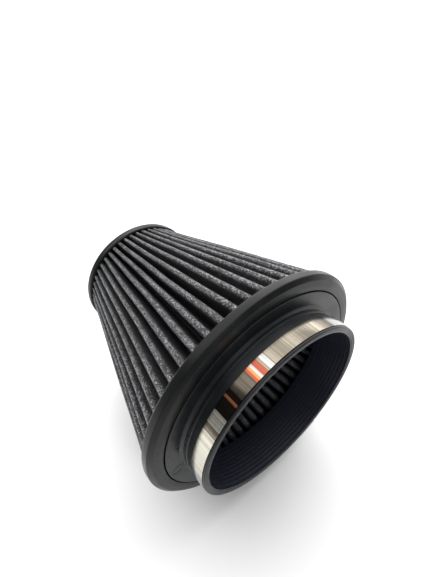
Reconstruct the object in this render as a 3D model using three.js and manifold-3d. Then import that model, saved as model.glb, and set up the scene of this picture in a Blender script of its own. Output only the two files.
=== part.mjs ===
// A cone-shaped clamp-on air filter for a motorcycle: a pleated wire-and-cotton cone between a
// rubber end cap and a rubber base ring, with a clamped rubber neck. Millimetres, +Z up.
// The filter's axis is X. The neck's mouth is the plane X = 0 and faces +X.
import * as THREE from 'three';
import { mergeVertices } from 'three/addons/utils/BufferGeometryUtils.js';
import Module from 'manifold-3d';

const wasm = await Module();
wasm.setup();

// ---------------------------------------------------------------- driving dimensions

const pleatCount = 54;
const segmentsAround = pleatCount;
const filletSteps = 2;
const contactGap = 0.3;

const bore = { radius: 51 };
const neck = { wall: 2.6, lip: 3.4, backX: -24.2, stepX: -15.2, collar: 1.5, step: 0.5, stepLength: 0.2 };
const disc = { radius: 63.3, frontX: -17.2, backX: -21.6 };
const base = { radius: 72, frontX: -17.5, backX: -24.2, innerRadius: 55 };
const cap = { radius: 40.5, frontX: -140, backX: -145.5, recessRadius: 30, recessSlope: 1.6, recessDepth: 0.9 };

// The pleat's two ends. Widths are half widths across a fold, and scale is the layers' thickness.
const baseEnd = { x: base.backX - contactGap, crest: 70.5, valley: 58, crestHalf: 1.95, gapHalf: 0.75, scale: 1 };
const capEnd = { x: cap.frontX + contactGap, crest: 39.3, valley: 26.8, crestHalf: 1.2, gapHalf: 0.25, scale: 0.55 };

// How far below a crest its shoulders sit, as a share of the crest's half width.
const shoulderDrop = 0.7;

// Depths of each pleated layer below the cone's outer surface, at the base.
const layers = {
  outer_mesh: [0, 0.35],
  filter_media: [0.6, 1.2],
  inner_mesh: [1.45, 1.8],
};

const band = { width: 8, centreX: -5.5, thickness: 0.7, innerRadius: bore.radius + neck.wall + contactGap };
const groove = { width: 7, depth: 1 };
const tail = { width: 7.8, thickness: 0.6, gap: 0.25, rootAngle: -52, tipAngle: 30, firstSlot: -9, lastSlot: 11 };
const slot = { length: 4.2, width: 1.15 };
const tipCut = { side: 6, inset: 2 };
const saddle = { thickness: 0.6, halfAngle: 6.4, sideGap: 0.4 };
// Longer than any wall that a cutting tool goes through.
const throughCut = 8;
const screw = { pitch: 2.2, crest: 3.6, root: 2.8, threadTurns: 101 / 24, shank: 1.7, acrossFlats: 6, dip: 0.25 };
const head = { start: 6.8, length: 3.6, washerFace: 0.5, washerInset: 0.2, slotWidth: 1, slotDepth: 1.4 };
const housing = { length: 12.8, wall: 0.7, endWall: 1.1, shoulderRise: 1.4, holeRadius: 2.05 };
const housingGap = { side: 0.3, bore: 0.3, tail: 0.35, shankEnd: 0.2 };
const clampAngle = THREE.MathUtils.degToRad(-150);

// ---------------------------------------------------------------- colours

const blackRubber = { color: 0x2b2c30, roughness: 0.5, metalness: 0 };
const steel = { color: 0xc9c5bd, roughness: 0.14, metalness: 1 };

// ---------------------------------------------------------------- shared helpers

// Corners are [radius, x, fillet]. The outline runs with +X along its outside wall.
function filletedOutline(corners, isClosed) {
  const points = [];
  corners.forEach(([radius, x, fillet = 0], index) => {
    const corner = new THREE.Vector2(radius, x);
    if (fillet === 0) {
      points.push(corner);
      return;
    }
    const before = corners[(index + corners.length - 1) % corners.length];
    const after = corners[(index + 1) % corners.length];
    const toBefore = new THREE.Vector2(before[0], before[1]).sub(corner).normalize();
    const toAfter = new THREE.Vector2(after[0], after[1]).sub(corner).normalize();
    const start = corner.clone().addScaledVector(toBefore, fillet);
    const end = corner.clone().addScaledVector(toAfter, fillet);
    points.push(...new THREE.QuadraticBezierCurve(start, corner, end).getPoints(filletSteps));
  });
  if (isClosed) {
    points.push(points[0].clone());
  }
  return points;
}

function weld(geometry) {
  geometry.deleteAttribute('normal');
  geometry.deleteAttribute('uv');
  return mergeVertices(geometry, 1e-4);
}

// Turns an outline about the X axis.
function revolve(corners, isClosed = true) {
  const lathe = new THREE.LatheGeometry(filletedOutline(corners, isClosed), segmentsAround);
  return weld(lathe.rotateZ(-Math.PI / 2));
}

function toManifold(geometry) {
  const welded = geometry.getAttribute('normal') ? weld(geometry.clone()) : geometry;
  return new wasm.Manifold(new wasm.Mesh({
    numProp: 3,
    vertProperties: new Float32Array(welded.getAttribute('position').array),
    triVerts: new Uint32Array(welded.index.array),
  }));
}

function toGeometry(manifold) {
  const mesh = manifold.getMesh();
  const geometry = new THREE.BufferGeometry();
  geometry.setAttribute('position', new THREE.BufferAttribute(mesh.vertProperties, 3));
  geometry.setIndex(new THREE.BufferAttribute(mesh.triVerts, 1));
  return geometry;
}

function subMesh(name, geometry, look) {
  const mesh = new THREE.Mesh(geometry, new THREE.MeshStandardMaterial(look));
  mesh.name = name;
  return mesh;
}

// A cylinder along Y between two places on it.
function rod(radius, fromY, toY, sides = 24) {
  const cylinder = new THREE.CylinderGeometry(radius, radius, toY - fromY, sides);
  return toManifold(cylinder.translate(0, (fromY + toY) / 2, 0));
}

// A shape drawn in the XZ plane and extruded along Y, centred on Y = 0.
function prism(shape, length) {
  const solid = new THREE.ExtrudeGeometry(shape, { depth: length, bevelEnabled: false, curveSegments: 12 });
  return toManifold(solid.translate(0, 0, -length / 2).rotateX(Math.PI / 2));
}

// Part of a thin ring about the X axis, between two angles counted from +Z towards +Y.
function ringSector(innerRadius, thickness, width, fromDegrees, toDegrees, steps) {
  const from = Math.PI / 2 - THREE.MathUtils.degToRad(toDegrees);
  const to = Math.PI / 2 - THREE.MathUtils.degToRad(fromDegrees);
  const outline = [];
  for (const [radius, start, end] of [[innerRadius + thickness, from, to], [innerRadius, to, from]]) {
    for (let step = 0; step <= steps; step += 1) {
      const angle = start + (end - start) * step / steps;
      outline.push(new THREE.Vector2(radius * Math.cos(angle), radius * Math.sin(angle)));
    }
  }
  const solid = new THREE.ExtrudeGeometry(new THREE.Shape(outline), { depth: width, bevelEnabled: false });
  // The extrusion's own X, Y and Z become Y, Z and X.
  const turn = new THREE.Matrix4().set(0, 0, 1, 0, 1, 0, 0, 0, 0, 1, 0, 0, 0, 0, 0, 1);
  return solid.translate(0, 0, -width / 2).applyMatrix4(turn);
}

// ---------------------------------------------------------------- rubber ends

function endCap() {
  const recessX = cap.backX + cap.recessDepth;
  return revolve([
    [0, recessX],
    [cap.recessRadius, recessX, 0.6],
    [cap.recessRadius + cap.recessSlope, cap.backX, 0.6],
    [cap.radius, cap.backX, 1.6],
    [cap.radius, cap.frontX, 1],
    [0, cap.frontX],
  ], false);
}

function baseRing() {
  const pocketX = disc.backX - contactGap;
  const seamRadius = disc.radius + contactGap;
  return revolve([
    [base.innerRadius, base.backX],
    [base.radius, base.backX, 1.6],
    [base.radius, base.frontX, 2],
    [seamRadius, base.frontX, 0.3],
    [seamRadius, pocketX],
    [base.innerRadius, pocketX],
  ]);
}

// The neck's outside runs from its back end over the disc, the root step, the band's seat and the lip.
function neckFlange() {
  const wallRadius = bore.radius + neck.wall;
  const lipRadius = bore.radius + neck.lip;
  const lipBackX = band.centreX + band.width / 2 + contactGap;
  const grooveFront = band.centreX + groove.width / 2;
  const grooveBack = band.centreX - groove.width / 2;
  const collarRadius = wallRadius + neck.collar;
  const backRadius = base.innerRadius - contactGap;
  return revolve([
    [bore.radius, neck.backX, 0.6],
    [backRadius, neck.backX],
    [backRadius, disc.backX],
    [disc.radius, disc.backX],
    [disc.radius, disc.frontX, 0.5],
    [collarRadius, disc.frontX, 0.6],
    [wallRadius + neck.step, neck.stepX - neck.stepLength, 0.4],
    [wallRadius, neck.stepX],
    [wallRadius, grooveBack],
    [wallRadius - groove.depth, grooveBack],
    [wallRadius - groove.depth, grooveFront],
    [wallRadius, grooveFront],
    [wallRadius, lipBackX],
    [lipRadius, lipBackX, 0.3],
    [lipRadius, 0, 0.75],
    [bore.radius, 0, 0.9],
  ]);
}

// ---------------------------------------------------------------- pleated layers

// One end of a layer's surface: [radius, angle] for each corner of each pleat, round the cone.
function pleatCorners(end, depth) {
  const inset = depth * end.scale;
  const crestRadius = end.crest - inset;
  const valleyRadius = end.valley - inset;
  const crestHalf = end.crestHalf - inset;
  const shoulderRadius = crestRadius - crestHalf * shoulderDrop;
  const pitchAngle = 2 * Math.PI / pleatCount;
  const shoulderAngle = crestHalf / shoulderRadius;
  const valleyAngle = (end.gapHalf + inset) / valleyRadius;
  const corners = [];
  for (let pleat = 0; pleat < pleatCount; pleat += 1) {
    const middle = (pleat + 0.5) * pitchAngle;
    corners.push([shoulderRadius, middle - shoulderAngle]);
    corners.push([crestRadius, middle]);
    corners.push([shoulderRadius, middle + shoulderAngle]);
    corners.push([valleyRadius, middle + pitchAngle / 2 - valleyAngle]);
    corners.push([valleyRadius, middle + pitchAngle / 2 + valleyAngle]);
  }
  return corners.map(([radius, angle]) => [end.x, radius * Math.cos(angle), radius * Math.sin(angle)]);
}

// A pleated shell: four rings of corners (outside and inside at the two ends) joined by flat strips.
function pleatedLayer([outerDepth, innerDepth]) {
  const rings = [
    pleatCorners(capEnd, outerDepth),
    pleatCorners(baseEnd, outerDepth),
    pleatCorners(baseEnd, innerDepth),
    pleatCorners(capEnd, innerDepth),
  ];
  const count = rings[0].length;
  const indices = [];
  rings.forEach((_, ring) => {
    const nextRing = (ring + 1) % rings.length;
    for (let corner = 0; corner < count; corner += 1) {
      const next = (corner + 1) % count;
      const [a, b] = [ring * count + corner, ring * count + next];
      const [c, d] = [nextRing * count + next, nextRing * count + corner];
      // Inside and outside strips share one diagonal, so neighbouring layers stay parallel.
      indices.push(...(ring === 2 ? [a, b, d, b, c, d] : [a, b, c, a, c, d]));
    }
  });
  const geometry = new THREE.BufferGeometry();
  geometry.setAttribute('position', new THREE.Float32BufferAttribute(rings.flat(2), 3));
  geometry.setIndex(indices);
  return geometry;
}

// The strip that joins the pleated pack's two ends, along the inside of the topmost fold.
function seamClip() {
  const endGap = 1;
  const width = 2;
  const thickness = 0.6;
  const clearance = 0.4;
  const foldRadius = (end) => end.valley - layers.inner_mesh[1] * end.scale - clearance;
  const [capX, capZ] = [capEnd.x + endGap, foldRadius(capEnd)];
  const [baseX, baseZ] = [baseEnd.x - endGap, foldRadius(baseEnd)];
  const shape = new THREE.Shape([
    new THREE.Vector2(capX, capZ - thickness),
    new THREE.Vector2(baseX, baseZ - thickness),
    new THREE.Vector2(baseX, baseZ),
    new THREE.Vector2(capX, capZ),
  ]);
  const clip = toGeometry(prism(shape, width));
  clip.rotateX(Math.PI / pleatCount);
  return clip;
}

// ---------------------------------------------------------------- clamp, with its housing at +Z

const bandOuterRadius = band.innerRadius + band.thickness;
const tailInnerRadius = bandOuterRadius + tail.gap;
const tailOuterRadius = tailInnerRadius + tail.thickness;
const screwHeight = tailOuterRadius + screw.crest - screw.dip;

function clampBand() {
  const half = band.width / 2;
  return revolve([
    [band.innerRadius, -half],
    [bandOuterRadius, -half, 0.12],
    [bandOuterRadius, half, 0.12],
    [band.innerRadius, half],
  ]);
}

// The band's free end: slanted slots one thread pitch apart, and a clipped tip.
function bandTail() {
  const slotAngle = screw.pitch / (tailInnerRadius + tail.thickness / 2);
  const threadSlant = Math.atan(screw.pitch / (2 * Math.PI * screw.crest));
  const steps = 24;
  let solid = toManifold(ringSector(tailInnerRadius, tail.thickness, tail.width, tail.rootAngle, tail.tipAngle, steps));
  for (let index = tail.firstSlot; index <= tail.lastSlot; index += 1) {
    const cutter = new THREE.BoxGeometry(slot.length, slot.width, throughCut / 2);
    cutter.rotateZ(-threadSlant);
    cutter.translate(0, 0, tailInnerRadius);
    cutter.rotateX(-index * slotAngle);
    solid = solid.subtract(toManifold(cutter));
  }
  for (const side of [-1, 1]) {
    const clip = new THREE.BoxGeometry(tipCut.side, tipCut.side, throughCut);
    clip.rotateZ(Math.PI / 4);
    clip.translate(side * (tail.width / 2 + tipCut.inset), tipCut.inset, tailInnerRadius);
    clip.rotateX(-THREE.MathUtils.degToRad(tail.tipAngle));
    solid = solid.subtract(toManifold(clip));
  }
  return toGeometry(solid);
}

// The plate under the band that carries the housing.
function clampSaddle() {
  const innerRadius = bore.radius + neck.wall - groove.depth + contactGap;
  const width = groove.width - 2 * saddle.sideGap;
  return weld(ringSector(innerRadius, saddle.thickness, width, -saddle.halfAngle, saddle.halfAngle, 4));
}

// The housing's outline across the band: straight sides, sloping shoulders and a round roof.
function housingOutline(sideHalf, roofRadius, bottomZ) {
  const shoulderZ = tailOuterRadius + housingGap.tail + (sideHalf - band.width / 2 - housingGap.side);
  const shape = new THREE.Shape();
  shape.moveTo(-sideHalf, bottomZ);
  shape.lineTo(-sideHalf, shoulderZ);
  shape.lineTo(-roofRadius, shoulderZ + housing.shoulderRise);
  shape.absarc(0, screwHeight, roofRadius, Math.PI, 0, true);
  shape.lineTo(roofRadius, shoulderZ + housing.shoulderRise);
  shape.lineTo(sideHalf, shoulderZ);
  shape.lineTo(sideHalf, bottomZ);
  shape.closePath();
  return shape;
}

function clampHousing() {
  const innerSide = band.width / 2 + housingGap.side;
  const innerRoof = screw.crest + housingGap.bore;
  const bottomZ = bore.radius + neck.lip + contactGap;
  const roomDrop = 3;
  const outside = prism(housingOutline(innerSide + housing.wall, innerRoof + housing.wall, bottomZ), housing.length);
  const roomLength = housing.length - 2 * housing.endWall;
  const room = prism(housingOutline(innerSide, innerRoof, bottomZ - roomDrop), roomLength);
  const bandWay = new THREE.BoxGeometry(2 * innerSide, 2 * housing.length, throughCut);
  bandWay.translate(0, 0, tailOuterRadius + housingGap.tail - throughCut / 2);
  const shankHole = rod(housing.holeRadius, -housing.length, housing.length).translate([0, 0, screwHeight]);
  return toGeometry(outside.subtract(room).subtract(toManifold(bandWay)).subtract(shankHole));
}

// A right-handed thread along Y whose ridge is lowest at Y = 0, before its ends are cut square.
function threadBlank(turns) {
  const stepsPerTurn = 24;
  // Places along one pitch, in the same steps as the turn, with the radius there.
  const ridge = [[0, screw.root], [7, screw.root], [10, screw.crest], [14, screw.crest], [17, screw.root]];
  const steps = turns * stepsPerTurn;
  const positions = [];
  for (let step = 0; step <= steps + stepsPerTurn; step += 1) {
    const turn = step / stepsPerTurn - turns / 2 - 0.5;
    const angle = 2 * Math.PI * turn + Math.PI;
    for (const [along, radius] of ridge) {
      const y = screw.pitch * (turn + along / stepsPerTurn - 0.5);
      positions.push(radius * Math.sin(angle), y, radius * Math.cos(angle));
    }
  }
  const indices = [];
  const vertex = (step, row) => {
    if (row < ridge.length) {
      return step * ridge.length + row;
    }
    return (step + stepsPerTurn) * ridge.length;
  };
  for (let step = 0; step < steps; step += 1) {
    for (let row = 0; row < ridge.length; row += 1) {
      const [a, b] = [vertex(step, row), vertex(step, row + 1)];
      const [c, d] = [vertex(step + 1, row + 1), vertex(step + 1, row)];
      indices.push(a, c, b, a, d, c);
    }
  }
  const addCap = (step, y, isStart) => {
    const centre = positions.length / 3;
    positions.push(0, y, 0);
    const loop = [];
    for (let offset = 0; offset < stepsPerTurn; offset += 1) {
      loop.push(vertex(step + offset, 0));
    }
    for (let row = ridge.length; row > 0; row -= 1) {
      loop.push(vertex(step, row));
    }
    loop.forEach((current, index) => {
      const next = loop[(index + 1) % loop.length];
      indices.push(...(isStart ? [centre, next, current] : [centre, current, next]));
    });
  };
  addCap(0, screw.pitch * (-turns / 2 - 1.5), true);
  addCap(steps, screw.pitch * (turns / 2 + 1), false);
  const geometry = new THREE.BufferGeometry();
  geometry.setAttribute('position', new THREE.Float32BufferAttribute(positions, 3));
  geometry.setIndex(indices);
  return toManifold(geometry);
}

function clampScrew() {
  const threadHalf = screw.pitch * screw.threadTurns / 2;
  const headEnd = head.start + head.length;
  const blankTurns = 6;
  const thread = threadBlank(blankTurns).intersect(rod(screw.crest + 1, -threadHalf, threadHalf));
  const shank = rod(screw.shank, -housing.length / 2 + housingGap.shankEnd, head.start + head.washerFace / 2);
  const washerFace = rod(screw.acrossFlats / 2 - head.washerInset, head.start, head.start + 2 * head.washerFace);
  const hexRadius = screw.acrossFlats / Math.sqrt(3);
  const hex = rod(hexRadius, head.start + head.washerFace, headEnd, 6);
  const slotCut = new THREE.BoxGeometry(2 * screw.acrossFlats, 2 * head.slotDepth, head.slotWidth);
  slotCut.translate(0, headEnd, 0);
  const solid = thread.add(shank).add(washerFace).add(hex).subtract(toManifold(slotCut));
  return toGeometry(solid);
}

// ---------------------------------------------------------------- the whole filter

const filter = new THREE.Group();
filter.add(subMesh('end_cap', endCap(), blackRubber));
filter.add(subMesh('base_ring', baseRing(), blackRubber));
filter.add(subMesh('neck_flange', neckFlange(), { color: 0x303238, roughness: 0.42, metalness: 0 }));

filter.add(subMesh('outer_mesh', pleatedLayer(layers.outer_mesh), { color: 0x8d8d90, roughness: 0.4, metalness: 0.8 }));
filter.add(subMesh('filter_media', pleatedLayer(layers.filter_media), { color: 0x33343a, roughness: 0.95, metalness: 0 }));
filter.add(subMesh('inner_mesh', pleatedLayer(layers.inner_mesh), { color: 0x85858a, roughness: 0.4, metalness: 0.8 }));
filter.add(subMesh('seam_clip', seamClip(), { color: 0x9a9a9a, roughness: 0.35, metalness: 0.9 }));

const clamp = new THREE.Group();
clamp.position.x = band.centreX;
clamp.rotation.x = clampAngle;
clamp.add(subMesh('clamp_band', clampBand(), steel));
clamp.add(subMesh('clamp_band_tail', bandTail(), steel));
clamp.add(subMesh('clamp_saddle', clampSaddle(), steel));
clamp.add(subMesh('clamp_housing', clampHousing(), steel));

const clampScrewMesh = subMesh('clamp_screw', clampScrew(), { color: 0xb9b6ae, roughness: 0.25, metalness: 1 });
clampScrewMesh.position.z = screwHeight;
clamp.add(clampScrewMesh);
filter.add(clamp);

export default filter;
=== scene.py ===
"""The looks of a cone-shaped clamp-on air filter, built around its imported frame.

Metres, +Z up. The filter's axis is X and its mouth faces +X, in the plane X = 0.
"""
import math
import random

import bpy
import numpy as np
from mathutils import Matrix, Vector


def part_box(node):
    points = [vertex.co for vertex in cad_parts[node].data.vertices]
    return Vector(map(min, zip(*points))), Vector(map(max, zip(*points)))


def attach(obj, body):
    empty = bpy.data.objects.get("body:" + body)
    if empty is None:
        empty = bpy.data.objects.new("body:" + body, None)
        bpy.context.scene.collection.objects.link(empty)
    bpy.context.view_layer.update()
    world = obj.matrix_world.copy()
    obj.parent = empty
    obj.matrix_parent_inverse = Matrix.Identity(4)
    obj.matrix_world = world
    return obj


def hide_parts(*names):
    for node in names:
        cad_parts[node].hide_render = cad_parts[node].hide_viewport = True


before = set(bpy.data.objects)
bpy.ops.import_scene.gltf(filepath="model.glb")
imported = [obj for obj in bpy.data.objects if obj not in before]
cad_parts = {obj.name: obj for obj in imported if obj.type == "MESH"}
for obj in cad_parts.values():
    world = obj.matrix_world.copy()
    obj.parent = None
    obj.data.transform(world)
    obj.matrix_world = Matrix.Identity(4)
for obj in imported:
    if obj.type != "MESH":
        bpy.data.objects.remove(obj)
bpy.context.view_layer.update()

MM = 0.001
ROUND_STEPS = 216
# A radius smaller than this is a point on the axis.
ON_AXIS = 1e-9

# The neck's bore, how far its wall and its lip stand out from it, and how far the disc stands out
# in front of the ring.
BORE_RADIUS = 51 * MM
NECK_WALL = 2.6 * MM
LIP_HEIGHT = 3.4 * MM
DISC_STEP = 0.3 * MM

# The pleats, and at each end of the cone: half a crest's width, half a gap's width and the layers' scale.
PLEATS = 54
PLEAT_DEPTH = 12.5 * MM
PLEAT_ENDS = (("low", 1.2, 0.25, 0.55), ("high", 1.95, 0.75, 1.0))
# Length along a fold for each millimetre along X.
FOLD_SLANT = 1.035


# ---------------------------------------------------------------- sizes from the frame

def outer_radius_at(node, end):
    """How far from the axis a CAD node reaches at its low or high X end."""
    corners = np.array([vertex.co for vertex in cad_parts[node].data.vertices])
    x = corners[:, 0].min() if end == "low" else corners[:, 0].max()
    near = np.abs(corners[:, 0] - x) < 0.05 * MM
    return np.hypot(corners[near, 1], corners[near, 2]).max()


def x_range(node):
    """A CAD node's lowest and highest X."""
    low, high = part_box(node)
    return low.x, high.x


RING_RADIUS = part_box("base_ring")[1].z
RING_BACK, RING_FRONT = x_range("base_ring")
NECK_BACK = x_range("neck_flange")[0]
DISC_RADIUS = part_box("neck_flange")[1].z
CAP_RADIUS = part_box("end_cap")[1].z
CAP_BACK, CAP_FRONT = x_range("end_cap")
BAND_BACK, BAND_FRONT = x_range("clamp_band")
BAND_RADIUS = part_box("clamp_band")[1].y
DISC_FRONT = RING_FRONT + DISC_STEP
NECK_RADIUS = BORE_RADIUS + NECK_WALL
LIP_RADIUS = BORE_RADIUS + LIP_HEIGHT


# ---------------------------------------------------------------- mesh helpers

def new_object(name, vertices, faces, sharp_degrees=40):
    """A smooth-shaded object with sharp edges where its faces turn by more than the angle."""
    mesh = bpy.data.meshes.new(name)
    mesh.from_pydata([tuple(vertex) for vertex in vertices], [], faces)
    mesh.validate()
    mesh.shade_smooth()
    mesh.set_sharp_from_angle(angle=math.radians(sharp_degrees))
    made = bpy.data.objects.new(name, mesh)
    bpy.context.scene.collection.objects.link(made)
    return made


def rounded(corners, closed=True, steps=6):
    """An outline of [x, radius, fillet] corners, in millimetres, with each fillet drawn as a smooth curve."""
    outline = []
    count = len(corners)
    for index, corner in enumerate(corners):
        x, radius = corner[:2]
        fillet = corner[2] if len(corner) > 2 else 0
        here = Vector((x, radius))
        if not fillet:
            outline.append(here)
            continue
        before = (Vector(corners[index - 1][:2]) - here).normalized()
        after = (Vector(corners[(index + 1) % count][:2]) - here).normalized()
        half_turn = before.angle(after) / 2
        reach = min(fillet / math.tan(half_turn), 4 * fillet)
        start, end = here + before * reach, here + after * reach
        for step in range(steps + 1):
            share = step / steps
            outline.append(start.lerp(here, share).lerp(here.lerp(end, share), share))
    if closed:
        outline.append(outline[0])
    return [(point.x * MM, point.y * MM) for point in outline]


def revolved(name, outline, closed=True, steps=ROUND_STEPS):
    """Turns an outline of (x, radius) about the X axis. It runs with +X along its outside wall."""
    rows = outline[:-1] if closed else outline
    vertices = []
    starts = []
    for x, radius in rows:
        starts.append(len(vertices))
        if radius < ON_AXIS:
            vertices.append((x, 0, 0))
            continue
        for step in range(steps):
            angle = 2 * math.pi * step / steps
            vertices.append((x, radius * math.cos(angle), radius * math.sin(angle)))
    faces = []
    pairs = len(rows) if closed else len(rows) - 1

    def edge(row, from_step, to_step):
        """The part of a row between two steps, or the row's one point on the axis."""
        start = starts[row]
        return [start] if rows[row][1] < ON_AXIS else [start + from_step, start + to_step]

    for row in range(pairs):
        after = (row + 1) % len(rows)
        for step in range(steps):
            turn = (step + 1) % steps
            faces.append(tuple(reversed(edge(row, step, turn) + edge(after, turn, step))))
    return new_object(name, vertices, faces, 35)


def mm(value):
    """A length in metres, in millimetres."""
    return value / MM


def finish_piece(piece, body, slot, *nodes):
    """Lets a piece move with a body, in place of the CAD nodes it stands for. The slot argument is not used.
    """
    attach(piece, body)
    if nodes:
        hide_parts(*nodes)
    return piece


# ---------------------------------------------------------------- material helpers

class Nodes:
    """A material's node tree, with short calls for the nodes used here."""

    def __init__(self, name):
        self.material = bpy.data.materials.new(name)
        self.material.use_nodes = True
        self.tree = self.material.node_tree
        self.shader = self.tree.nodes["Principled BSDF"]

    def add(self, kind, inputs=None, **settings):
        node = self.tree.nodes.new("ShaderNode" + kind)
        for setting, value in settings.items():
            setattr(node, setting, value)
        for socket, value in (inputs or {}).items():
            self.put(node.inputs[socket], value)
        return node

    def put(self, socket, value):
        if isinstance(value, bpy.types.NodeSocket):
            self.tree.links.new(value, socket)
        else:
            socket.default_value = value

    def math(self, operation, *values):
        node = self.add("Math", operation=operation)
        for index, value in enumerate(values):
            self.put(node.inputs[index], value)
        return node.outputs[0]

    def ramp(self, factor, stops, interpolation="LINEAR"):
        node = self.add("ValToRGB", {"Fac": factor})
        node.color_ramp.interpolation = interpolation
        elements = node.color_ramp.elements
        elements.remove(elements[-1])
        for index, (place, colour) in enumerate(stops):
            element = elements.new(place) if index else elements[0]
            element.color = (*colour, 1)
        return node.outputs["Color"]

    def mix(self, factor, first, second, blend="MIX"):
        node = self.add("Mix", data_type="RGBA", blend_type=blend)
        self.put(node.inputs["Factor"], factor)
        self.put(node.inputs[6], first)
        self.put(node.inputs[7], second)
        return node.outputs[2]

    def even_grey(self, value):
        return self.add("CombineColor", {0: value, 1: value, 2: value}).outputs[0]

    def noise(self, vector, scale, detail=3, roughness=0.5):
        inputs = {"Vector": vector, "Scale": scale, "Detail": detail, "Roughness": roughness}
        return self.add("TexNoise", inputs).outputs["Fac"]

    def spread(self, value, low, high):
        """Maps 0.3..0.7, most of a noise's range, to low..high."""
        inputs = {"Value": value, "From Min": 0.3, "From Max": 0.7, "To Min": low, "To Max": high}
        return self.add("MapRange", inputs).outputs["Result"]

    def bump(self, height, strength, distance, normal=None):
        inputs = {"Height": height, "Strength": strength, "Distance": distance}
        if normal is not None:
            inputs["Normal"] = normal
        return self.add("Bump", inputs).outputs["Normal"]

    def surface(self, **inputs):
        names = {"colour": "Base Color", "roughness": "Roughness", "metallic": "Metallic", "normal": "Normal"}
        for name, value in inputs.items():
            self.put(self.shader.inputs[names[name]], value)
        return self.material

    def place(self):
        return self.add("TexCoord").outputs["Object"]


def grey(value, warmth=0.0):
    return (value * (1 + warmth), value, value * (1 - warmth), 1)


def moulded_rubber(name, shade, roughness, blueness, gloss, bore_light_radius=0.0):
    """Satin rubber: mottled colour, fine grain, smudged gloss and edges rubbed a little paler.

    Inside the bore-light radius, round the bore, the colour is painted a pale blue-grey: painted light
    standing for the light that falls into the bore.
    """
    nodes = Nodes(name)
    nodes.shader.inputs["Specular IOR Level"].default_value = gloss
    nodes.shader.inputs["IOR"].default_value = 1.45
    place = nodes.place()
    mottle = nodes.noise(place, 90, 4)
    smudge = nodes.noise(place, 35, 3, 0.6)
    grain = nodes.noise(place, 2600, 2, 0.6)
    dust = nodes.noise(place, 1500, 1)
    pits = nodes.noise(place, 420, 3)
    base = nodes.mix(nodes.spread(mottle, 0, 1), grey(shade * 0.8, -blueness), grey(shade * 1.25, -blueness))
    speck = nodes.math("MULTIPLY", nodes.math("GREATER_THAN", dust, 0.74), 0.4)
    dusty = nodes.mix(speck, base, grey(shade * 5))
    worn = nodes.add("NewGeometry").outputs["Pointiness"]
    edge = nodes.add("MapRange", {"Value": worn, "From Min": 0.51, "From Max": 0.58, "To Max": 0.35})
    split = nodes.add("SeparateXYZ", {"Vector": place})
    across = nodes.add("CombineXYZ", {"X": split.outputs["Y"], "Y": split.outputs["Z"]})
    radius = nodes.add("VectorMath", {"Vector": across.outputs[0]}, operation="LENGTH").outputs["Value"]
    # Painted light: inside the bore the colour turns paler and bluer.
    inside = nodes.math("LESS_THAN", radius, bore_light_radius)
    bore_lit_colour = nodes.mix(inside, dusty, (shade * 2.1, shade * 2.4, shade * 3.6, 1))
    colour = nodes.mix(edge.outputs["Result"], bore_lit_colour, grey(shade * 2.6))
    rough = nodes.spread(smudge, roughness - 0.07, roughness + 0.1)
    fine = nodes.bump(grain, 0.12, 0.06 * MM)
    normal = nodes.bump(pits, 0.1, 0.25 * MM, fine)
    return nodes.surface(colour=colour, roughness=rough, normal=normal)


def woven_wire(name, pitch, wire_colour, hole_colour, glint_strength):
    """Plain-woven wire screen over dark cotton, laid out on the sheet's flattened UV map in millimetres.

    Painted shade darkens it towards the bottom of each fold, below a painted highlight along the crests, and
    random wire cells carry painted glints.
    """
    nodes = Nodes(name)
    sheet = nodes.add("UVMap", uv_map="Sheet").outputs["UV"]
    wander = nodes.add("TexNoise", {"Vector": sheet, "Scale": 0.12, "Detail": 2})
    shift = nodes.add("VectorMath", operation="MULTIPLY_ADD")
    nodes.put(shift.inputs[0], wander.outputs["Color"])
    shift.inputs[1].default_value = (0.9, 0.9, 0)
    nodes.put(shift.inputs[2], sheet)
    cells = nodes.add("VectorMath", operation="SCALE")
    nodes.put(cells.inputs[0], shift.outputs[0])
    cells.inputs["Scale"].default_value = 1 / pitch
    split = nodes.add("SeparateXYZ", {"Vector": cells.outputs[0]})
    across, along = split.outputs["X"], split.outputs["Y"]
    half_wire = 0.3

    def wire(side, length, sign):
        """One set of wires: a round section across them and a wave over and under along them."""
        offset = nodes.math("DIVIDE", nodes.math("SUBTRACT", nodes.math("FRACT", side), 0.5), half_wire)
        square = nodes.math("SUBTRACT", 1, nodes.math("MULTIPLY", offset, offset))
        section = nodes.math("SQRT", nodes.math("MAXIMUM", square, 0))
        phase = nodes.math("MULTIPLY", nodes.math("ADD", length, nodes.math("FLOOR", side)), math.pi)
        wave = nodes.math("MULTIPLY_ADD", nodes.math("SINE", phase), 0.4 * sign, 0.6)
        return nodes.math("MULTIPLY", section, wave)

    height = nodes.math("MAXIMUM", wire(across, along, 1), wire(along, across, -1))
    cell = nodes.add("CombineXYZ", {"X": nodes.math("FLOOR", across), "Y": nodes.math("FLOOR", along)})
    chance = nodes.add("TexWhiteNoise", {"Vector": cell.outputs[0]}).outputs["Value"]
    # Painted light: a painted highlight along the fold crests, falling off into painted shade down the
    # flanks.
    fold = nodes.add("Attribute", attribute_name="fold").outputs["Fac"]
    fold_light = nodes.math("MULTIPLY_ADD", nodes.math("POWER", fold, 2.4), 0.95, 0.05)
    # Painted glints: random wire cells painted brighter, standing for glints of light on the wires.
    sparkle = nodes.math("MULTIPLY_ADD", nodes.math("POWER", chance, 3), glint_strength, 1 - glint_strength / 4)
    glint = nodes.math("MULTIPLY", sparkle, fold_light)
    shade = nodes.add("MapRange", {"Value": height, "From Min": 0.1, "From Max": 0.75})
    lit = nodes.mix(1, wire_colour, nodes.even_grey(glint), "MULTIPLY")
    colour = nodes.mix(shade.outputs["Result"], hole_colour, lit)
    metal = nodes.math("MULTIPLY", shade.outputs["Result"], 0.6)
    rough = nodes.math("MULTIPLY_ADD", chance, 0.2, 0.34)
    normal = nodes.bump(height, 0.9, 0.3 * MM)
    return nodes.surface(colour=colour, metallic=metal, roughness=rough, normal=normal)


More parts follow.
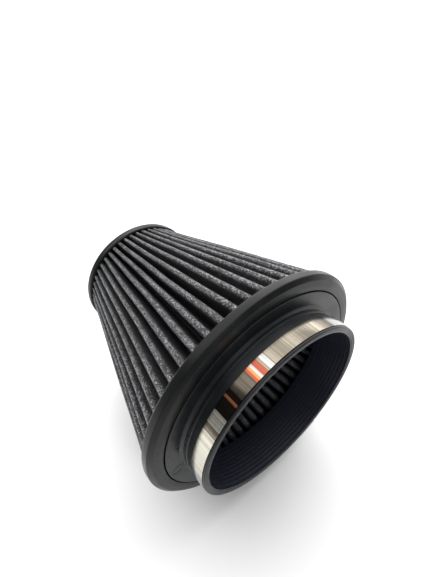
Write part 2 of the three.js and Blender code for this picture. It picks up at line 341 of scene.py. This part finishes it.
def cotton_gauze(name):
    """Coarse, nearly black oiled gauze."""
    nodes = Nodes(name)
    place = nodes.place()
    threads = nodes.noise(place, 1800, 4, 0.7)
    stain = nodes.noise(place, 60, 3)
    colour = nodes.mix(nodes.spread(stain, 0, 1), grey(0.02), (0.045, 0.04, 0.04, 1))
    return nodes.surface(colour=colour, roughness=0.95, normal=nodes.bump(threads, 0.6, 0.3 * MM))


def polished_steel(name, stops):
    """Polished strip: warm and silver streaks straight across the band, which are painted reflections of the
    surroundings, and hairline scratches along it.
    """
    nodes = Nodes(name)
    place = nodes.add("SeparateXYZ", {"Vector": nodes.place()})
    turn = nodes.math("ARCTAN2", place.outputs["Y"], place.outputs["Z"])
    round_share = nodes.math("MULTIPLY_ADD", turn, 1 / (2 * math.pi), 0.5)
    around = nodes.add("CombineXYZ", {"X": round_share})
    # Painted reflections: the colour runs in streaks by the angle round the band, and fine streaks brighten
    # and darken it.
    painted_reflection = nodes.ramp(round_share, stops, "CONSTANT")
    fine = nodes.noise(around.outputs[0], 170, 5, 0.95)
    shade = nodes.spread(fine, 0.05, 1.75)
    colour = nodes.mix(1, painted_reflection, nodes.even_grey(shade), "MULTIPLY")
    fine_x = nodes.math("MULTIPLY", place.outputs["X"], 9000)
    rolled = nodes.add("CombineXYZ", {"X": fine_x, "Y": round_share})
    hairline = nodes.noise(rolled.outputs[0], 1, 3)
    rough = nodes.spread(hairline, 0.12, 0.24)
    normal = nodes.bump(hairline, 0.06, 0.02 * MM)
    return nodes.surface(colour=colour, metallic=1.0, roughness=rough, normal=normal)


def plain_metal(name, shade, roughness):
    """Bare or plated metal with soft blotches and fine scratches."""
    nodes = Nodes(name)
    place = nodes.place()
    blotch = nodes.noise(place, 120, 3)
    scratch = nodes.noise(place, 2200, 3, 0.7)
    colour = nodes.mix(nodes.spread(blotch, 0, 1), grey(shade * 0.85, 0.02), grey(shade, 0.03))
    rough = nodes.spread(scratch, roughness - 0.06, roughness + 0.1)
    normal = nodes.bump(scratch, 0.08, 0.03 * MM)
    return nodes.surface(colour=colour, metallic=1.0, roughness=rough, normal=normal)


def pale_floor(name):
    """Nearly white, with the faintest cloudiness."""
    nodes = Nodes(name)
    cloud = nodes.noise(nodes.place(), 3, 2)
    colour = nodes.mix(nodes.spread(cloud, 0, 1), grey(0.86), grey(0.9))
    return nodes.surface(colour=colour, roughness=0.9)


# ---------------------------------------------------------------- camera

def look():
    """A wide-angle camera close above the mouth's near side, a little over three ring radii away."""
    camera_data = bpy.data.cameras.new("camera")
    camera_data.sensor_width = 36
    camera_data.lens = 24.12
    camera_data.clip_start = 0.01
    camera = bpy.data.objects.new("camera", camera_data)
    ring_plane = RING_FRONT - 2.5 * MM
    offset = Vector((1.084, -1.316, 2.523)) * RING_RADIUS
    camera.location = Vector((ring_plane, 0, 0)) + offset
    azimuth, elevation = math.radians(50.6), math.radians(42.0)
    camera.rotation_euler = (math.pi / 2 - elevation, 0, azimuth)
    bpy.context.scene.collection.objects.link(camera)
    bpy.context.scene.camera = camera


# ---------------------------------------------------------------- rubber pieces

def end_cap(rubber):
    """The potted cap: rounded rim, shallow recess in its outer face, and a soft inner edge."""
    back, front, radius = mm(CAP_BACK), mm(CAP_FRONT), mm(CAP_RADIUS)
    recess_radius, recess_depth = 30, 0.9
    outline = rounded([
        (back + recess_depth, 0),
        (back + recess_depth, recess_radius, 0.8),
        (back, recess_radius + 2 * recess_depth, 0.8),
        (back, radius, 1.7),
        (front - 0.2, radius, 1.3),
        (front, radius - 3.2, 0.8),
        (front, 0),
    ], closed=False)
    piece = revolved("cap_rubber", outline, closed=False)
    piece.data.materials.append(rubber)
    return finish_piece(piece, "filter", "black_rubber", "end_cap")


def base_ring(rubber):
    """The potted ring: flat side wall, a softly rounded chamfer at the front edge, then the flat front."""
    back, front, radius = mm(RING_BACK), mm(RING_FRONT), mm(RING_RADIUS)
    inner, shelf = 55, back + 2.3
    seam = mm(DISC_RADIUS) + 0.6
    outline = rounded([
        (back, inner, 0.3),
        (back, radius, 1.4),
        (front - 2.1, radius, 0.9),
        (front - 0.35, radius - 2.3, 1.1),
        (front, radius - 5.5, 1.6),
        (front, seam, 0.5),
        (shelf, seam),
        (shelf, inner, 0.3),
    ])
    piece = revolved("ring_rubber", outline)
    piece.data.materials.append(rubber)
    return finish_piece(piece, "filter", "black_rubber", "base_ring")


def bore_ridges(start_x, end_x, count):
    """Fine rounded ridges round the inside of the neck, as outline points from the mouth inwards."""
    pitch = (end_x - start_x) / count
    profile = ((-0.25, 0), (-0.12, 0.04), (0.02, 0.06), (0.18, 0.03), (0.35, 0))
    points = []
    for ridge in range(count):
        middle = start_x + (ridge + 0.5) * pitch
        for offset, rise in profile:
            points.append((middle - offset, mm(BORE_RADIUS) - rise))
    return points


def neck(rubber):
    """The moulded disc and neck: two fine steps at the root, the band's seat, the lip and the ribbed bore."""
    back, disc = mm(NECK_BACK), mm(DISC_FRONT)
    wall, lip, bore = mm(NECK_RADIUS), mm(LIP_RADIUS), mm(BORE_RADIUS)
    band_back, band_front = mm(BAND_BACK), mm(BAND_FRONT)
    shelf, root = back + 2.6, 54.7
    corners = [
        (back, bore, 0.5),
        (back, root),
        (shelf, root),
        (shelf, mm(DISC_RADIUS)),
        (disc, mm(DISC_RADIUS), 0.45),
        (disc, wall + 1.9, 0.5),
        (disc + 1.5, wall + 1.1, 0.25),
        (disc + 1.7, wall + 0.3, 0.12),
        (disc + 2.2, wall + 0.3, 0.12),
        (disc + 2.3, wall + 0.6, 0.1),
        (disc + 3.2, wall + 0.5, 0.2),
        (disc + 3.5, wall, 0.2),
        (band_back + 0.5, wall),
        (band_back + 0.5, wall - 1),
        (band_front - 0.5, wall - 1),
        (band_front - 0.5, wall),
        (band_front + 0.3, wall),
        (band_front + 0.3, lip, 0.25),
        (-0.25, lip, 0.7),
        (0, lip - 0.75, 0.3),
        (-0.12, lip - 0.95, 0.05),
        (0, lip - 1.15, 0.1),
        (0, lip - 1.6, 0.1),
        (-0.14, lip - 1.75, 0.05),
        (0, lip - 1.95, 0.1),
        (-0.05, bore + 0.75, 0.3),
        (-0.45, bore + 0.2, 0.15),
        (-0.55, bore - 0.15, 0.1),
        (-0.95, bore - 0.15, 0.1),
        (-1.05, bore, 0.1),
    ]
    corners += bore_ridges(-2.2, back + 2.5, count=9)
    piece = revolved("neck_rubber", rounded(corners))
    piece.data.materials.append(rubber)
    return finish_piece(piece, "filter", "neck_rubber", "neck_flange")


def mould_mark(rubber):
    """A faint plain oval left by the mould on the disc, as a low closed bead."""
    steps, tilt = 48, math.radians(35)
    half_length, half_width = 3.6, 2.6
    distance, angle = 58.6 * MM, 0.2
    bead = ((-0.16, -0.1), (-0.05, 0.11), (0.05, 0.11), (0.16, -0.1))
    middle = Vector((DISC_FRONT, -distance * math.cos(angle), -distance * math.sin(angle)))
    vertices = []
    for step in range(steps):
        turn = 2 * math.pi * step / steps
        out = Vector((math.cos(turn), math.sin(turn)))
        for width, rise in bead:
            along, across = (half_length + width) * MM * out.x, (half_width + width) * MM * out.y
            y = along * math.cos(tilt) - across * math.sin(tilt)
            z = along * math.sin(tilt) + across * math.cos(tilt)
            vertices.append(middle + Vector((rise * MM, y, z)))
    faces = []
    for step in range(steps):
        here, there = 4 * step, 4 * ((step + 1) % steps)
        for side in range(4):
            turn = (side + 1) % 4
            faces.append((here + side, there + side, there + turn, here + turn))
    piece = new_object("mould_mark", vertices, faces)
    piece.data.materials.append(rubber)
    return finish_piece(piece, "filter", "neck_rubber")


# ---------------------------------------------------------------- pleated layers

def pleat_arcs(crest_radius, valley_radius, crest_half, gap_half, depth):
    """One pleat's section as (radius, angle, crest share, outside, inside): a round crest and a round valley.

    The crest share tells how freely a point can sway. The last two are painted light, how brightly a point is
    painted on a layer seen from outside and on one seen from inside: a painted highlight along the crest that
    falls off into painted shade down the fold's flanks.
    """
    pitch = 2 * math.pi / PLEATS
    crest_steps, valley_steps = 8, 4
    crest_centre, crest_arc = crest_radius - crest_half, crest_half - depth
    valley_centre, valley_arc = valley_radius + gap_half, gap_half + depth
    section = []
    for step in range(crest_steps + 1):
        turn = math.pi * (step / crest_steps - 0.5)
        across, up = crest_arc * math.sin(turn), crest_centre + crest_arc * math.cos(turn)
        fold_light = 0.45 + 0.55 * math.cos(turn)
        section.append((math.hypot(across, up), math.atan2(across, up), 1.0, fold_light, 0.0))
    middle_radius = (section[-1][0] + valley_centre) / 2
    for step in range(valley_steps + 1):
        turn = math.pi * (step / valley_steps - 0.5)
        across, up = valley_arc * math.sin(turn), valley_centre - valley_arc * math.cos(turn)
        fold_light = 0.2 + 0.8 * math.cos(turn)
        section.append((math.hypot(across, up), pitch / 2 + math.atan2(across, up), 0.0, 0.0, fold_light))
    flank_angle = (section[crest_steps][1] + section[crest_steps + 1][1]) / 2
    # On the flanks: crest share, then the painted light seen from outside and from inside.
    flank = (0.5, 0.2, 0.1)
    section.insert(crest_steps + 1, (middle_radius, flank_angle, *flank))
    section.append((middle_radius, pitch - flank_angle, *flank))
    return section


def pleat_waves(seed=7):
    """For each pleat, how its crest wanders: amplitude and phase of two waves sideways and one outwards."""
    chance = random.Random(seed)

    def wave():
        return chance.uniform(0.12, 0.34), chance.uniform(0, 2 * math.pi)

    return [[wave() for _ in range(3)] for _ in range(PLEATS)]


WAVES = pleat_waves()


def pleat_ends():
    """Crest and valley radius, half crest, half gap and layer scale, at the cap and at the base."""
    ends = []
    for end, half, gap, scale in PLEAT_ENDS:
        crest = outer_radius_at("outer_mesh", end)
        ends.append((crest, crest - PLEAT_DEPTH, half * MM, gap * MM, scale))
    return ends


def pleated_ring(x, share, section):
    """All the pleats' corners at one X, each pleat swaying and rising a little in its own way."""
    swell = math.sin(math.pi * share) ** 0.7
    ring = []
    for pleat, waves in enumerate(WAVES):
        slow, quick, lift = waves
        sway = slow[0] * math.sin(4 * share + slow[1]) + 0.6 * quick[0] * math.sin(11 * share + quick[1])
        rise = lift[0] * math.sin(6 * share + lift[1]) - 0.12
        for radius, angle, crest_share, _, _ in section:
            moved = radius + crest_share * swell * rise * MM
            turned = (pleat + 0.5) * 2 * math.pi / PLEATS + angle
            turned += crest_share * swell * sway * MM / radius
            ring.append((x, moved * math.cos(turned), moved * math.sin(turned)))
    return ring


def pleated_sheet(name, outer_depth, inner_depth, seen_from_inside, steps_along=36):
    """A closed pleated sheet between two depths below the cone's outer surface, in millimetres at the base.

    Both its ends bite a little way into the rubber.
    """
    bite = 0.9 * MM
    ends = pleat_ends()
    low_x, high_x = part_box("outer_mesh")[0].x - bite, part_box("outer_mesh")[1].x + bite
    rings = []
    sheet_places = []
    for depth in (outer_depth, inner_depth):
        for step in range(steps_along + 1):
            share = step / steps_along
            x = low_x + (high_x - low_x) * share
            crest, valley, half, gap, scale = (a + (b - a) * share for a, b in zip(*ends))
            section = pleat_arcs(crest, valley, half, gap, depth * scale * MM)
            rings.append(pleated_ring(x, share, section))
            sheet_places.append(mm(x) * FOLD_SLANT)
    around = len(rings[0])
    faces = []
    rows = steps_along + 1

    def strip(first, second, flip):
        for step in range(around):
            turn = (step + 1) % around
            near, far = first * around, second * around
            face = (near + step, near + turn, far + turn, far + step)
            faces.append(tuple(reversed(face)) if flip else face)

    for row in range(steps_along):
        strip(row, row + 1, True)
        strip(rows + row, rows + row + 1, False)
    strip(0, rows, False)
    strip(steps_along, rows + steps_along, True)
    piece = new_object(name, [corner for ring in rings for corner in ring], faces, 80)
    lay_out_sheet(piece, rings[steps_along], sheet_places, around)
    # The fold attribute carries painted light: a painted highlight along each fold's crest and painted shade
    # down its flanks.
    fold = piece.data.attributes.new("fold", "FLOAT", "POINT")
    side = 4 if seen_from_inside else 3
    painted_fold_light = [point[side] for point in section] * (PLEATS * 2 * rows)
    fold.data.foreach_set("value", painted_fold_light)
    return piece


def lay_out_sheet(piece, base_section, sheet_places, around):
    """Gives the sheet a flat map in millimetres: along its folds, and across them as before folding."""
    section = np.array(base_section)
    steps = np.linalg.norm(np.roll(section, -1, axis=0) - section, axis=1)
    across = np.concatenate([[0], np.cumsum(steps)]) / MM
    layer = piece.data.uv_layers.new(name="Sheet")
    for face in piece.data.polygons:
        columns = [piece.data.loops[loop].vertex_index % around for loop in face.loop_indices]
        wraps = max(columns) - min(columns) > 1
        for loop, column in zip(face.loop_indices, columns):
            row = piece.data.loops[loop].vertex_index // around
            place = across[around] if wraps and column == 0 else across[column]
            layer.data[loop].uv = (place, sheet_places[row])


def pleated_pack(outer_wire, inner_wire, gauze):
    """The three layers of the pack, from outside in, with their depths in millimetres at the base."""
    layers = (
        ("outer_screen", 0, 0.35, outer_wire, "wire_mesh", "outer_mesh"),
        ("gauze_pleats", 0.6, 1.2, gauze, "cotton_media", "filter_media"),
        ("inner_screen", 1.45, 1.8, inner_wire, "wire_mesh", "inner_mesh"),
    )
    for name, outer_depth, inner_depth, material, slot, node in layers:
        piece = pleated_sheet(name, outer_depth, inner_depth, name == "inner_screen")
        piece.data.materials.append(material)
        finish_piece(piece, "filter", slot, node)


# ---------------------------------------------------------------- clamp

def clamp_band(steel):
    """The band as a smooth ring with slightly rolled edges."""
    back, front, radius = mm(BAND_BACK), mm(BAND_FRONT), mm(BAND_RADIUS)
    inner = radius - 0.7
    inside, outside = 0.1, 0.22
    outline = rounded([
        (back, inner, inside),
        (back, radius, outside),
        (front, radius, outside),
        (front, inner, inside),
    ])
    piece = revolved("band_steel", outline)
    piece.data.materials.append(steel)
    return finish_piece(piece, "clamp", "polished_steel", "clamp_band")


def dress_cad_node(name, material, bevel=0.0):
    """Keeps a CAD node's shape, with its own material and softened edges."""
    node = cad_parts[name]
    node.data.materials.clear()
    node.data.materials.append(material)
    node.data.shade_smooth()
    node.data.set_sharp_from_angle(angle=math.radians(30))
    if bevel:
        soften = node.modifiers.new("soft_edges", "BEVEL")
        soften.width = bevel * MM
        soften.segments = 2
        soften.limit_method = "ANGLE"
        soften.angle_limit = math.radians(40)
        soften.harden_normals = True


# ---------------------------------------------------------------- floor and light

def floor_and_light():
    """A wide pale floor, an even pale world, three softboxes round the filter and one over the far floor."""
    size = 4.5
    drop = -RING_RADIUS
    corners = [(-size, -size, drop), (size, -size, drop), (size, size, drop), (-size, size, drop)]
    floor = new_object("floor", corners, [(0, 1, 2, 3)])
    floor.data.materials.append(pale_floor("pale_floor"))
    world = bpy.data.worlds.new("studio")
    bpy.context.scene.world = world
    world.use_nodes = True
    background = world.node_tree.nodes["Background"]
    background.inputs["Color"].default_value = (1, 1, 1, 1)
    background.inputs["Strength"].default_value = 0.3
    bpy.context.scene.view_settings.view_transform = "Standard"
    target = Vector((-60 * MM, 0, 0))
    far_floor = Vector((-1.75, 1.4, drop))
    # Name, place from what it points at, width in metres, power in watts, and what it points at.
    softboxes = (
        ("key", (-0.5, 0.0, 1.1), 1.9, 28.0, target),
        ("front", (0.85, -0.12, 0.7), 0.26, 2.2, target),
        ("back", (-0.2, 1.1, 0.7), 1.5, 12.0, target),
        ("far", (0.0, 0.0, 0.75), 2.6, 48.0, far_floor),
    )
    for name, place, width, power, aim in softboxes:
        light = bpy.data.lights.new(name, "AREA")
        light.shape = "SQUARE"
        light.size = width
        light.energy = power
        lamp = bpy.data.objects.new(name, light)
        lamp.location = aim + Vector(place)
        lamp.rotation_euler = (aim - lamp.location).to_track_quat("-Z", "Y").to_euler()
        bpy.context.scene.collection.objects.link(lamp)


# ---------------------------------------------------------------- the scene

# Colours of the band's painted reflections.
SILVER, CREAM, BEIGE = (0.34, 0.34, 0.335), (0.64, 0.62, 0.53), (0.24, 0.21, 0.165)
UMBER, OLIVE, TAUPE = (0.022, 0.018, 0.015), (0.09, 0.078, 0.06), (0.17, 0.15, 0.12)
ORANGE, RED, WHITE = (0.52, 0.2, 0.09), (0.3, 0.075, 0.045), (0.42, 0.41, 0.39)
# Painted reflections round the band: share of a turn, from straight down, and the colour from there to the
# next.
BAND_PAINTED_REFLECTIONS = [
    (0.000, TAUPE), (0.060, SILVER), (0.130, BEIGE), (0.200, SILVER), (0.255, CREAM), (0.334, BEIGE),
    (0.346, CREAM), (0.367, UMBER), (0.386, ORANGE), (0.390, UMBER), (0.397, OLIVE), (0.424, RED),
    (0.428, ORANGE), (0.432, WHITE), (0.434, RED), (0.443, BEIGE), (0.449, WHITE), (0.457, BEIGE),
    (0.466, TAUPE), (0.535, BEIGE), (0.560, TAUPE), (0.578, SILVER), (0.605, TAUPE), (0.625, WHITE),
    (0.660, SILVER), (0.740, BEIGE), (0.820, SILVER), (0.910, CREAM),
]

look()
ring_rubber = moulded_rubber("ring_rubber", shade=0.005, roughness=0.33, blueness=0.08, gloss=0.22)
neck_rubber = moulded_rubber(
    "neck_rubber", shade=0.009, roughness=0.34, blueness=0.18, gloss=0.28,
    bore_light_radius=BORE_RADIUS + 0.1 * MM)
wire = woven_wire(
    "woven_wire", pitch=0.62, wire_colour=(0.19, 0.19, 0.2, 1),
    hole_colour=(0.002, 0.002, 0.003, 1), glint_strength=3.4)
inner_wire = woven_wire(
    "inner_woven_wire", pitch=0.75, wire_colour=(0.2, 0.21, 0.23, 1),
    hole_colour=(0.004, 0.004, 0.006, 1), glint_strength=1.2)
steel = polished_steel("band_steel", BAND_PAINTED_REFLECTIONS)
plated = plain_metal("plated_steel", shade=0.48, roughness=0.24)

end_cap(ring_rubber)
base_ring(ring_rubber)
neck(neck_rubber)
mould_mark(neck_rubber)
pleated_pack(wire, inner_wire, cotton_gauze("cotton_gauze"))
clamp_band(steel)
dress_cad_node("seam_clip", plain_metal("clip_steel", shade=0.5, roughness=0.4), bevel=0.1)
dress_cad_node("clamp_band_tail", plain_metal("tail_steel", shade=0.45, roughness=0.2))
dress_cad_node("clamp_saddle", plated)
dress_cad_node("clamp_housing", plated, bevel=0.15)
dress_cad_node("clamp_screw", plain_metal("screw_steel", shade=0.58, roughness=0.26))
floor_and_light()
